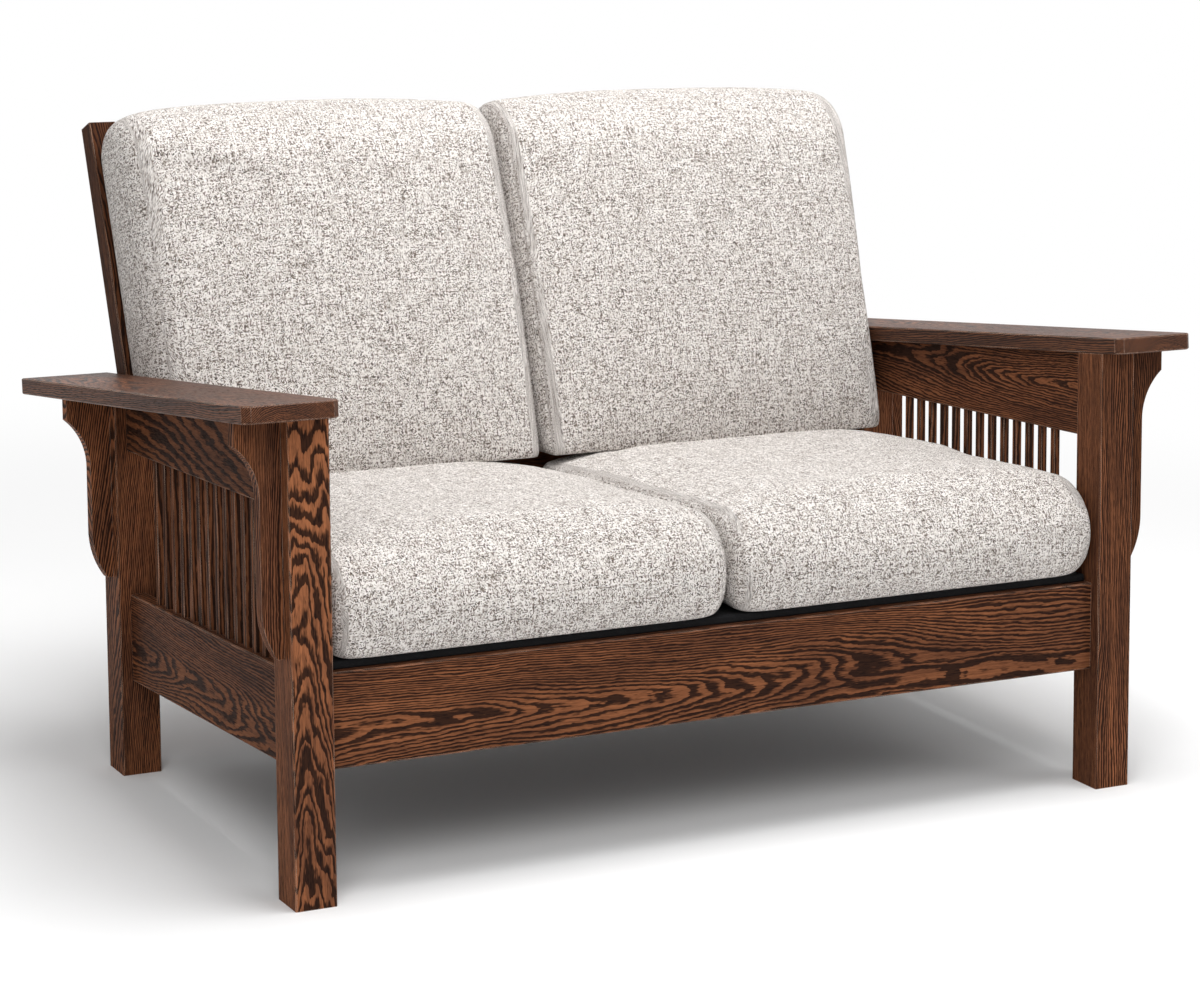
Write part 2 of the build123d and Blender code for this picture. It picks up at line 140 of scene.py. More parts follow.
class Graph:
    """A node tree that is being wired."""

    def __init__(self, tree: bpy.types.NodeTree) -> None:
        """Keeps the tree of a material, a world or a node group."""
        self.tree = tree

    def fill(self, node: Node, values: Values) -> None:
        """Links other sockets into a node's sockets, or sets their values.

        Args:
            node: The node.
            values: What goes into its first sockets in order, or into those that are named.
        """
        for key, value in (values if isinstance(values, dict) else dict(enumerate(values))).items():
            if isinstance(value, Socket):
                self.tree.links.new(value, node.inputs[key])
            else:
                node.inputs[key].default_value = value

    def node(self, kind: str, values: Values = (), **settings: object) -> Node:
        """Adds a node.

        Args:
            kind: The node's type.
            values: What goes into its sockets.
            **settings: Properties of the node.

        Returns:
            The node.
        """
        node = self.tree.nodes.new(kind)
        for name, value in settings.items():
            setattr(node, name, value)
        self.fill(node, values)
        return node

    def group(self, name: str, values: Values) -> Outputs:
        """Adds the node group of that name and gives its outputs."""
        return self.node("ShaderNodeGroup", values, node_tree=bpy.data.node_groups[name]).outputs

    def math(self, operation: str, *values: Fed) -> Socket:
        """Adds a Math node and gives its result."""
        return self.node("ShaderNodeMath", values, operation=operation).outputs["Value"]

    def plus(self, first: Fed, second: Fed) -> Socket:
        """Adds two numbers."""
        return self.math("ADD", first, second)

    def times(self, first: Fed, second: Fed) -> Socket:
        """Multiplies two numbers."""
        return self.math("MULTIPLY", first, second)

    def vector(self, operation: str, *values: Fed) -> Socket:
        """Adds a Vector Math node and gives its result, a number for a length or a dot product."""
        node = self.node("ShaderNodeVectorMath", values, operation=operation)
        return node.outputs["Value" if operation in ("LENGTH", "DOT_PRODUCT") else "Vector"]

    def join(self, *parts: Fed) -> Socket:
        """Joins three numbers to a vector."""
        return self.node("ShaderNodeCombineXYZ", parts).outputs["Vector"]

    def shift(self, vector: Socket, noise: Outputs, amount: Fed) -> Socket:
        """Moves a vector by a noise.

        Args:
            vector: The vector's socket.
            noise: The noise's outputs, of which the colour gives the way.
            amount: How far it moves.

        Returns:
            The moved vector's socket.
        """
        way = self.vector("SUBTRACT", noise["Color"], (0.5, 0.5, 0.5))
        step = self.node("ShaderNodeVectorMath", {0: way, "Scale": amount}, operation="SCALE")
        return self.vector("ADD", vector, step.outputs["Vector"])

    def noise(self, vector: Socket, cycles: Triple, detail: float, roughness: float = 0.5) -> Outputs:
        """Adds a Noise Texture.

        Args:
            vector: The socket it reads.
            cycles: How often it turns over in a metre, each way.
            detail: Its octaves.
            roughness: How strong the finer octaves are.

        Returns:
            Its outputs, Fac and Color.
        """
        place = self.vector("MULTIPLY", vector, cycles)
        return self.node("ShaderNodeTexNoise", {
            "Vector": place, "Scale": 1.0, "Detail": detail, "Roughness": roughness}).outputs

    def white(self, *parts: Fed) -> Socket:
        """Adds a White Noise node that reads three numbers, and gives its value."""
        node = self.node("ShaderNodeTexWhiteNoise", {"Vector": self.join(*parts)}, noise_dimensions="3D")
        return node.outputs["Value"]

    def ramp(self, value: Socket, low: float, high: float, below: float = 0.0, above: float = 1.0) -> Socket:
        """Gives a smooth step from below to above, while the value goes from low to high."""
        values = {"Value": value, "From Min": low, "From Max": high, "To Min": below, "To Max": above}
        return self.node("ShaderNodeMapRange", values, interpolation_type="SMOOTHSTEP").outputs["Result"]

    def mix(self, factor: Fed, first: Fed, second: Fed) -> Socket:
        """Mixes two colours by how much of the second there is."""
        values = {"Factor": factor, 6: first, 7: second}
        return self.node("ShaderNodeMix", values, data_type="RGBA").outputs[2]

    def mix_shaders(self, factor: Socket, first: Socket, second: Socket, leave: str) -> None:
        """Mixes two shaders, by how much of the second there is, into the output node named leave."""
        mixed = self.node("ShaderNodeMixShader", (factor, first, second))
        self.fill(self.tree.nodes[leave], {"Surface": mixed.outputs["Shader"]})


def new_group(name: str, inputs: tuple[str, ...],
              outputs: tuple[str, ...]) -> tuple[Graph, dict[str, Socket], Node]:
    """Makes an empty shader node group, whose sockets take numbers except the one named Vector.

    Args:
        name: The group's name.
        inputs: The inputs' names.
        outputs: The outputs' names.

    Returns:
        The graph, the sockets that give its inputs and the node that takes its outputs.
    """
    tree = bpy.data.node_groups.new(name, "ShaderNodeTree")
    for way, labels in (("INPUT", inputs), ("OUTPUT", outputs)):
        for label in labels:
            kind = "NodeSocketVector" if label == "Vector" else "NodeSocketFloat"
            tree.interface.new_socket(name=label, in_out=way, socket_type=kind)
    graph = Graph(tree)
    entry = graph.node("NodeGroupInput")
    return graph, {label: entry.outputs[label] for label in inputs}, graph.node("NodeGroupOutput")


def new_material(name: str) -> tuple[Material, Graph, Node]:
    """Makes a material with one plain shader.

    Args:
        name: The material's name.

    Returns:
        The material, its graph and its shader.
    """
    material = bpy.data.materials.new(name)
    material.use_nodes = True
    return material, Graph(material.node_tree), material.node_tree.nodes["Principled BSDF"]


def coat(piece: Piece, material: Material) -> None:
    """Gives a piece one material in place of those it has."""
    piece.data.materials.clear()
    piece.data.materials.append(material)


@dataclass(frozen=True)
class GrainScale:
    """How often each part of the oak's figure turns over in a metre, across and along the grain."""

    drift: Triple = (9.0, 9.0, 1.9)
    long_ripple: Triple = (55.0, 55.0, 12.0)
    short_ripple: Triple = (95.0, 95.0, 52.0)
    ragged: Triple = (430.0, 430.0, 34.0)
    fibre: Triple = (260.0, 260.0, 6.5)
    pore: Triple = (640.0, 640.0, 60.0)
    tone: Triple = (14.0, 14.0, 3.0)
    short_share: float = 0.45
    ripple_middle: float = 0.725
    ragged_share: float = 1.1
    late_wood: float = 0.3
    late_wood_spread: float = 0.34
    fading: Step = (-0.12, 0.16)
    rising: Step = (0.9, 1.0)
    pore_step: Step = (0.5, 0.64)


def oak_grain_group() -> None:
    """Builds the group that gives oak its rings, fibres and pores.

    Its Vector runs along the grain in Z, in metres, with the tree's pith on the Z axis.
    """
    graph, given, leave = new_group("oak_grain", ("Vector", "Ring Width", "Wander", "Ripple"),
                                    ("Ring", "Fibre", "Pore", "Tone"))
    scale, place = GrainScale(), given["Vector"]
    long_ripple = graph.noise(place, scale.long_ripple, 1.0)["Fac"]
    short_ripple = graph.noise(place, scale.short_ripple, 1.0)["Fac"]
    ripples = graph.plus(long_ripple, graph.times(short_ripple, scale.short_share))
    ripple_shift = graph.times(graph.math("SUBTRACT", ripples, scale.ripple_middle), given["Ripple"])
    wandering = graph.shift(place, graph.noise(place, scale.drift, 2.0, 0.45), given["Wander"])
    x, y, _ = graph.node("ShaderNodeSeparateXYZ", (wandering,)).outputs
    radius = graph.plus(graph.vector("LENGTH", graph.join(x, y, 0.0)), ripple_shift)
    rings = graph.math("DIVIDE", radius, given["Ring Width"])
    phase = graph.math("FRACT", rings)
    chance = graph.white(graph.math("FLOOR", rings), 3.7, 1.1)
    uneven = graph.math("SUBTRACT", graph.noise(place, scale.ragged, 2.0, 0.7)["Fac"], 0.5)
    ragged = graph.times(uneven, scale.ragged_share)
    edge = graph.plus(graph.times(chance, scale.late_wood_spread), scale.late_wood)
    past_edge = graph.math("SUBTRACT", graph.plus(phase, ragged), edge)
    fading = graph.ramp(past_edge, *scale.fading, 1.0, 0.0)
    rising = graph.ramp(graph.plus(phase, graph.times(ragged, 0.4)), *scale.rising)
    graph.fill(leave, {
        "Ring": graph.math("MAXIMUM", fading, rising),
        "Fibre": graph.noise(place, scale.fibre, 3.0, 0.6)["Fac"],
        "Pore": graph.ramp(graph.noise(place, scale.pore, 1.0)["Fac"], *scale.pore_step),
        "Tone": graph.noise(place, scale.tone, 2.0)["Fac"],
    })


def edge_wear_and_highlight_group(sameness_step: Step = (0.94, 0.995)) -> None:
    """Builds the group that finds the edges of a board, which turn lighter: stain rubbed thin and a painted
    highlight.

    Args:
        sameness_step: How alike the face and the rounded edge are where the wear and the painted highlight
            end.
    """
    graph, given, leave = new_group("worn_edge", ("Radius",), ("Wear",))
    rounded = graph.node("ShaderNodeBevel", {"Radius": given["Radius"]}, samples=4)
    face = graph.node("ShaderNodeNewGeometry").outputs["True Normal"]
    sameness = graph.vector("DOT_PRODUCT", rounded.outputs["Normal"], face)
    graph.fill(leave, {"Wear": graph.ramp(sameness, *sameness_step, 1.0, 0.0)})


@dataclass(frozen=True)
class WeaveScale:
    """How often each part of the cloth's figure turns over in a metre, and how far yarns start apart."""

    scatter: Triple = (260.0, 260.0, 260.0)
    warp_streak: Triple = (360.0, 21.0, 1.0)
    weft_streak: Triple = (21.0, 360.0, 1.0)
    cloud: Triple = (38.0, 38.0, 38.0)
    start_spread: float = 9.0
    streak_gain: float = 2.0


def weave_group() -> None:
    """Builds the group that gives a plain weave of yarns with their own shades.

    Its Vector holds metres along the cloth's width in X and its length in Y.
    """
    graph, given, leave = new_group("plain_weave", ("Vector", "Yarn", "Run", "Slub"),
                                    ("Shade", "Fleck", "Streak", "Height"))
    scale, place = WeaveScale(), given["Vector"]
    slubbed = graph.shift(place, graph.noise(place, scale.scatter, 2.0, 0.6), given["Slub"])
    u, v, _ = graph.node("ShaderNodeSeparateXYZ", (slubbed,)).outputs
    across, along = (graph.math("DIVIDE", way, given["Yarn"]) for way in (u, v))
    warp, weft = graph.math("FLOOR", across), graph.math("FLOOR", along)
    parity = graph.math("MODULO", graph.math("ABSOLUTE", graph.plus(warp, weft)), 2.0)
    warp_over = graph.math("GREATER_THAN", parity, 0.5)
    shades = []
    for yarn, way, seeds, last in ((weft, across, (0.5, weft, 3.0), 23.0),
                                   (warp, along, (warp, 0.5, 7.0), 11.0)):
        start = graph.times(graph.white(*seeds), scale.start_spread)
        part = graph.math("FLOOR", graph.math("DIVIDE", graph.plus(way, start), given["Run"]))
        shades.append(graph.white(yarn, part, last))
    picked = graph.node("ShaderNodeMix", {0: warp_over, 2: shades[0], 3: shades[1]}, data_type="FLOAT")
    streaks = graph.plus(graph.noise(place, scale.warp_streak, 1.0)["Fac"],
                         graph.noise(place, scale.weft_streak, 1.0)["Fac"])
    humps = (graph.math("SINE", graph.times(graph.math("FRACT", way), math.pi)) for way in (across, along))
    hump = graph.math("MAXIMUM", graph.times(*humps), 0.0)
    graph.fill(leave, {
        "Shade": picked.outputs[0],
        "Fleck": graph.white(warp, weft, 41.0),
        "Streak": graph.math("SUBTRACT", streaks, 1.0),
        "Height": graph.math("SQRT", hump),
    })


@dataclass(frozen=True)
class BoardCut:
    """How a board was cut from its tree, and how it took the stain; on some boards the shade factor is
    painted shade.
    """

    tilt: float = 0.03
    ring_width: float = 0.0026
    ripple: float = 0.0035
    shade: float = 1.0
    specular: float = 0.02
    coat: float = 0.012


@dataclass(frozen=True)
class OakFinish:
    """Oak with a dark brown stain wiped into its grain, under a satin lacquer."""

    dark: Colour = (0.014, 0.0075, 0.006, 1.0)
    middle: Colour = (0.105, 0.041, 0.022, 1.0)
    light: Colour = (0.335, 0.124, 0.053, 1.0)
    fibre_step: Step = (0.3, 0.72)
    tone_step: Step = (0.3, 0.7)
    ring_share: float = 0.9
    roughness: float = 0.42
    pore_roughness: float = 0.25
    coat_ior: float = 1.4
    coat_roughness: float = 0.24
    wander: float = 0.045
    # Lighter colour along the edges: partly rubbed stain, partly a painted highlight on the eased edges.
    worn_and_highlight: Colour = (0.46, 0.31, 0.23, 1.0)
    wear_and_highlight_radius: float = 0.0018
    wear_and_highlight_share: float = 0.9
    bump: float = 0.0003
    bump_strength: float = 0.35

    def material(self, name: str, along: Vector, pith: Vector, cut: BoardCut) -> Material:
        """Makes the material of one board.

        Args:
            name: The material's name.
            along: The direction of its grain.
            pith: A point on the middle line of the tree it was cut from.
            cut: How the board was cut and took the stain.

        Returns:
            The material.
        """
        material, graph, shader = new_material(name)
        place = graph.node("ShaderNodeTexCoord").outputs["Object"]
        turn = along.to_track_quat("Z", "Y").to_matrix().transposed()
        mapping = graph.node("ShaderNodeMapping", vector_type="POINT", values={
            "Vector": place, "Rotation": turn.to_euler(), "Location": -(turn @ pith)})
        grain = graph.group("oak_grain", {
            "Vector": mapping.outputs["Vector"], "Ring Width": cut.ring_width, "Wander": self.wander,
            "Ripple": cut.ripple})
        fibre = graph.ramp(grain["Fibre"], *self.fibre_step)
        tone = graph.ramp(grain["Tone"], *self.tone_step)
        middle, light = (tuple(part * cut.shade for part in colour[:3]) + (1.0,)
                         for colour in (self.middle, self.light))
        body = graph.mix(graph.times(graph.plus(fibre, tone), 0.5), middle, light)
        ringed = graph.mix(graph.times(grain["Ring"], self.ring_share), body, self.dark)
        pores = graph.times(grain["Pore"], graph.plus(graph.times(grain["Ring"], 0.5), 0.3))
        stained = graph.mix(pores, ringed, self.dark)
        # Edge mask for rubbed stain and a painted highlight along the eased edges, broken up by the fibres.
        edge = graph.group("worn_edge", {"Radius": self.wear_and_highlight_radius})["Wear"]
        wear_and_highlight = graph.times(graph.times(edge, fibre), self.wear_and_highlight_share)
        rough = graph.plus(graph.times(pores, self.pore_roughness), self.roughness)
        relief = graph.plus(graph.times(pores, 0.6), graph.times(grain["Ring"], 0.4))
        bump = graph.node("ShaderNodeBump", invert=True, values={
            "Strength": self.bump_strength, "Distance": self.bump, "Height": relief})
        graph.fill(shader, {
            "Base Color": graph.mix(wear_and_highlight, stained, self.worn_and_highlight),
            "Roughness": rough,
            "Specular IOR Level": cut.specular,
            "Coat Weight": cut.coat,
            "Coat IOR": self.coat_ior,
            "Coat Roughness": self.coat_roughness,
            "Normal": bump.outputs["Normal"],
        })
        return material


@dataclass(frozen=True)
class WovenFinish:
    """A woven cloth of coarse yarns in mixed shades."""

    name: str
    pale: Colour
    middle: Colour
    deep: Colour
    fleck: Colour
    yarn: float
    run: float
    slub: float
    streak: float = 0.4
    middle_step: Step = (0.25, 0.65)
    deep_share: float = 0.25
    deep_blend: float = 0.06
    fleck_share: float = 0.05
    fleck_blend: float = 0.01
    cloud_step: Step = (0.3, 0.75)
    cloud_share: float = 0.22
    # How far the marked seams are darkened towards the deep colour: a painted shade.
    seam_shade_share: float = 0.5
    bump: float = 0.0006
    bump_strength: float = 0.8
    roughness: float = 0.86
    specular: float = 0.2
    sheen: float = 0.15
    sheen_roughness: float = 0.5

    def material(self) -> Material:
        """Makes the material, which reads the piece's own cloth layout in metres.

        Returns:
            The material.
        """
        material, graph, shader = new_material(self.name)
        scale = WeaveScale()
        layout = graph.node("ShaderNodeUVMap", uv_map="cloth").outputs["UV"]
        weave = graph.group("plain_weave", {
            "Vector": layout, "Yarn": self.yarn, "Run": self.run, "Slub": self.slub})
        shade, fleck = weave["Shade"], weave["Fleck"]
        tint = graph.plus(graph.times(shade, self.streak), graph.times(fleck, 1.0 - self.streak))
        streak = graph.times(weave["Streak"], self.streak * scale.streak_gain)
        tint = graph.plus(tint, streak)
        base = graph.mix(graph.ramp(tint, *self.middle_step), self.pale, self.middle)
        deep, flecks = (
            graph.ramp(value, 1.0 - share - blend, 1.0 - share + blend)
            for value, share, blend in ((tint, self.deep_share, self.deep_blend),
                                        (fleck, self.fleck_share, self.fleck_blend)))
        flecked = graph.mix(flecks, graph.mix(deep, base, self.deep), self.fleck)
        cloud = graph.ramp(graph.noise(layout, scale.cloud, 3.0, 0.6)["Fac"], *self.cloud_step,
                           0.0, self.cloud_share)
        # The seam mark darkens the cloth along the seams: painted shade in the seam creases.
        seam = graph.node("ShaderNodeAttribute", attribute_name="seam").outputs["Fac"]
        relief = graph.plus(weave["Height"], graph.times(shade, 0.5))
        bump = graph.node("ShaderNodeBump", {
            "Strength": self.bump_strength, "Distance": self.bump, "Height": relief})
        graph.fill(shader, {
            "Base Color": graph.mix(graph.times(seam, self.seam_shade_share),
                                    graph.mix(cloud, flecked, self.middle), self.deep),
            "Roughness": graph.plus(graph.times(shade, 0.1), self.roughness),
            "Sheen Weight": self.sheen,
            "Sheen Roughness": self.sheen_roughness,
            "Specular IOR Level": self.specular,
            "Normal": bump.outputs["Normal"],
        })
        return material


@dataclass(frozen=True)
class SteelFinish:
    """Zinc plated steel of the hidden screws."""

    colour: Colour = (0.42, 0.41, 0.39, 1.0)
    dull: Colour = (0.3, 0.29, 0.27, 1.0)
    mottle: Triple = (900.0, 900.0, 900.0)
    dull_step: Step = (0.3, 0.7)
    roughness: float = 0.38
    dull_roughness: float = 0.15

    def material(self) -> Material:
        """Makes the material.

        Returns:
            The material, slightly mottled.
        """
        material, graph, shader = new_material("zinc_plated_steel")
        place = graph.node("ShaderNodeTexCoord").outputs["Object"]
        shade = graph.ramp(graph.noise(place, self.mottle, 3.0)["Fac"], *self.dull_step)
        graph.fill(shader, {
            "Base Color": graph.mix(shade, self.colour, self.dull),
            "Roughness": graph.plus(graph.times(shade, self.dull_roughness), self.roughness),
            "Metallic": 1.0,
        })
        return material


class Hardware:
    """The screws that hold the back frame, which keep their own shape."""

    def __init__(self, frame: dict, finish: SteelFinish) -> None:
        self.nodes, self.finish = frame["nodes"], finish

    def dress_screws(self) -> None:
        """Gives the screws their finish."""
        coat(self.nodes["back_screws"], self.finish.material())
        LOG.info("zinc plated steel dresses the screws")


@dataclass(frozen=True)
class Board:
    """Boards of one tree: how their grain runs, the way to its pith (out, back, up) and their cut."""

    name: str
    run: GrainRun
    pith: Triple
    cut: BoardCut = BoardCut()


SIDE_BOARDS = (
    Board("rear_post", GrainRun.POST, (-0.07, -0.03, 0.0), BoardCut(0.1, 0.0028, 0.003)),
    Board("lower_side_rail", GrainRun.SIDE, (-0.075, 0.0, -0.03), BoardCut(-0.035, 0.0026, 0.0036, 0.68)),
    Board("arm", GrainRun.ARM, (0.02, 0.0, -0.085), BoardCut(0.04, 0.0022, 0.003, 0.6, 0.12, 0.05)),
    Board("back_stile", GrainRun.BACK, (0.05, 0.04, 0.0), BoardCut(0.02, 0.0026, 0.003, 0.5)),
    Board("rear_corbel", GrainRun.POST, (-0.06, 0.01, 0.0), BoardCut(0.16, 0.0032, 0.003, 1.15)),
    # The spindles are darkened as painted shade between them.
    Board("spindle", GrainRun.POST, (0.16, 0.05, 0.0), BoardCut(0.01, 0.006, 0.003, 0.66)),
)
HAND_BOARDS = {
    "left": (
        Board("front_post", GrainRun.POST, (0.012, 0.065, 0.0), BoardCut(0.06, 0.0029, 0.0058, 1.12)),
        Board("upper_side_rail", GrainRun.SIDE, (-0.11, 0.0, 0.02), BoardCut(0.07, 0.0062, 0.0065, 0.6)),
        Board("front_corbel", GrainRun.POST, (-0.06, -0.03, 0.0), BoardCut(0.05, 0.0028, 0.003, 1.0)),
    ),
    "right": (
        Board("front_post", GrainRun.POST, (-0.1, 0.09, 0.0), BoardCut(0.01, 0.0022, 0.002, 0.98)),
        Board("upper_side_rail", GrainRun.SIDE, (-0.045, 0.0, 0.01), BoardCut(0.055, 0.0036, 0.0055, 0.78)),
        # The right front corbel is darker than the left one: painted shade.
        Board("front_corbel", GrainRun.POST, (-0.06, -0.03, 0.0), BoardCut(0.05, 0.0028, 0.003, 0.6)),
    ),
}
CROSS_BOARDS = (
    Board("front_rail", GrainRun.CROSS, (0.0, 0.06, -0.035), BoardCut(0.03, 0.003, 0.0042, 0.84)),
    Board("rear_rail", GrainRun.CROSS, (0.0, -0.08, 0.02)),
    Board("crest_rail", GrainRun.CROSS, (0.0, -0.07, 0.01)),
    Board("low_back_rail", GrainRun.CROSS, (0.0, -0.06, -0.02)),
    *(Board(f"back_slat_{number + 1}", GrainRun.BACK, (0.01 * number - 0.02, -0.06, 0.0),
            BoardCut(0.03 - 0.012 * number, 0.0026 + 0.0002 * number)) for number in range(5)),
)
HIDDEN_BLOCKS = Board("hidden_blocks", GrainRun.SIDE, (0.12, 0.0, 0.1))


class Joinery:
    """The wooden frame: every board keeps its shape and gets a grain cut from its own tree."""

    def __init__(self, frame: dict, stance: Stance, finish: OakFinish) -> None:
        self.nodes, self.stance, self.finish = frame["nodes"], stance, finish

    @staticmethod
    def centre(names: list[str]) -> Vector:
        """Finds the middle of some nodes.

        Args:
            names: Their names.

        Returns:
            The middle of their common box.
        """
        corners = [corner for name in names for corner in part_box(name)]
        low, high = (Vector(tuple(pick(c[i] for c in corners) for i in range(3))) for pick in (min, max))
        return (low + high) / 2

    def dress(self, board: Board, names: list[str], suffix: str = "", out: Vector = RIGHT) -> None:
        """Gives boards that were cut together one material.

        Args:
            board: How they were cut.
            names: Their nodes.
            suffix: What the material's name ends with.
            out: The direction outwards at their end of the settee.
        """
        label = f"oak_{board.name}{suffix}"
        ways = (out, self.stance.deck_back, self.stance.post_up)
        pith_side = sum((share * way for share, way in zip(board.pith, ways)), Vector((0, 0, 0)))
        askew = (self.stance.grain(board.run) + pith_side.normalized() * board.cut.tilt).normalized()
        material = self.finish.material(label, askew, self.centre(names) + pith_side, board.cut)
        for name in names:
            coat(self.nodes[name], material)
        LOG.info("%s dresses %d boards", label, len(names))

    def dress_all(self) -> None:
        """Dresses every board."""
        for hand, out in (("left", -RIGHT), ("right", RIGHT)):
            for board in HAND_BOARDS[hand] + SIDE_BOARDS:
                names = [name for name in self.nodes
                         if name.startswith(board.name) and name.rstrip("_0123456789").endswith(f"_{hand}")]
                self.dress(board, names, f"_{hand}", out)
        for board in CROSS_BOARDS:
            self.dress(board, [board.name])
        self.dress(HIDDEN_BLOCKS, ["corner_blocks", "seat_stretcher"])


def unit(values: Points) -> Points:
    """Keeps values between 0 and 1."""
    return np.clip(values, 0, 1)


def bell(values: Points, middle: float, width: float) -> Points:
    """Gives 1 at the middle and less on both sides of it, next to nothing two widths away."""
    return np.exp(-(((values - middle) / width) ** 2))


def pull(items: bpy.types.bpy_prop_collection, name: str, width: int = 1, kind: type = float) -> Points:
    """Reads one property of all points, corners or faces of a mesh.

    Args:
        items: The points, corners or faces.
        name: The property.
        width: How many numbers it has.
        kind: The kind of number.

    Returns:
        A row for each of them, or a flat array where the property is one number.
    """
    values = np.zeros(len(items) * width, kind)
    items.foreach_get(name, values)
    return values.reshape(-1, width) if width > 1 else values


def shade(piece: Piece, smooth: bool) -> None:
    """Shades all faces of a piece smooth or flat."""
    piece.data.polygons.foreach_set("use_smooth", [smooth] * len(piece.data.polygons))


class ClothPiece:
    """A piece of cloth or padding that stands for a plain solid of the frame."""

    def __init__(self, name: str, node: str, stance: Stance, run: Vector, up: Vector) -> None:
        """Keeps the piece's name, the node that it replaces and the ways of its depth and height."""
        self.name, self.node, self.stance = name, node, stance
        self.axes = np.array([tuple(RIGHT), tuple(run), tuple(up)], float)

    def local(self, points: Points) -> Points:
        """Turns points to the piece's own width, depth and height."""
        return points @ self.axes.T

    def world(self, points: Points) -> Points:
        """Turns the piece's own coordinates back to the settee's."""
        return points @ self.axes

    @staticmethod
    def read(data: Mesh) -> Points:
        """Reads a mesh's points."""
        return pull(data.vertices, "co", 3)

    @staticmethod
    def write(data: Mesh, points: Points) -> None:
        """Writes a mesh's points."""
        data.vertices.foreach_set("co", points.astype(np.float32).ravel())
        data.update()

    def solid(self, node: str) -> Points:
        """Reads a node's points in the piece's own coordinates."""
        return self.local(self.read(bpy.data.objects[node].data))

    def extent(self, node: str) -> tuple[Points, Points]:
        """Finds a node's lowest and highest corner in the piece's own coordinates."""
        points = self.solid(node)
        return points.min(0), points.max(0)

    @staticmethod
    def lay_out(data: Mesh, flat: Points) -> None:
        """Stores where each corner of the faces lies on the flat cloth, in metres."""
        data.uv_layers.new(name="cloth").data.foreach_set("uv", flat.astype(np.float32).ravel())

    @staticmethod
    def activate(piece: Piece) -> None:
        """Makes a piece the only selected and active object.

        Args:
            piece: The piece.
        """
        bpy.ops.object.select_all(action="DESELECT")
        piece.select_set(True)
        bpy.context.view_layer.objects.active = piece

    def apply(self, piece: Piece, kind: str, **settings: object) -> None:
        """Adds a modifier and applies it.

        Args:
            piece: The piece.
            kind: The modifier's type.
            **settings: Its properties.
        """
        modifier = piece.modifiers.new(kind.lower(), kind)
        for name, value in settings.items():
            setattr(modifier, name, value)
        self.activate(piece)
        bpy.ops.object.modifier_apply(modifier=modifier.name)

    def hand_over(self, piece: Piece, material: Material, slot: str, body: str) -> None:
        """Gives a piece its material and its body, and hides the plain solid that it stands for.

        Args:
            piece: The finished piece.
            material: Its material.
            slot: The record's material slot; not used.
            body: The body that it rides on.
        """
        coat(piece, material)
        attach(piece, body)
        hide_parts(self.node)
        LOG.info("%s has %d faces", piece.name, len(piece.data.polygons))


@dataclass(frozen=True)
class CoverCloth:
    """How heavy and stiff the covers are, by the names that Blender's cloth gives."""

    quality: int = 5
    mass: float = 0.4
    tension_stiffness: float = 18.0
    compression_stiffness: float = 8.0
    shear_stiffness: float = 6.0
    bending_stiffness: float = 1.5
    use_pressure: bool = True
    pin_stiffness: float = 0.6


@dataclass(frozen=True)
class CushionPlan:
    """What one cushion looks like, apart from its place.

    What ends in facing is a part of a normal: how far the cloth there faces an end or a support.
    """

    frames: int = 20
    smooth_factor: float = 0.5
    smooth_rounds: int = 3
    calm_rounds: int = 14
    voxel: float = 0.008
    slack: float = 0.004
    pressure: float = 4.0
    cap: float = 0.012
    fill: float = 0.85
    rest_facing: float = 0.8
    rest_blend: float = 0.15
    held_facing: float = 0.7
    held_blend: float = 0.14
    least_hold: float = 0.05
    seam_facing: float = 0.72
    seam_blend: float = 0.13
    seam_depth: float = 0.0014
    # inner_seam and outer_seam weigh both the drawn-in seam and its painted shade.
    inner_seam: float = 0.6
    inner_reach: float = 0.045
    outer_seam: float = 0.15
    outer_reach: float = 0.06
    pucker: float = 0.2
    pucker_turns: tuple[float, float] = (190.0, 170.0)
    outer_round: float = 0.022
    inner_round: float = 0.012
    round_spread: float = 1.3
    square: float = 0.0
    square_width: float = 0.11
    lift_width: float = 0.075
    lift: float = 0.018
    press: float = 0.0
    pressed_depth: float = 0.36
    pressed_blend: float = 0.09
    drop_width: float = 0.08
    drop: float = 0.0
    flare: float = 0.0
    flare_start: float = 0.42
    gap_above: float = 0.0004
    gap_before: float = 0.004
    slices: int = 36
    steps: int = 145


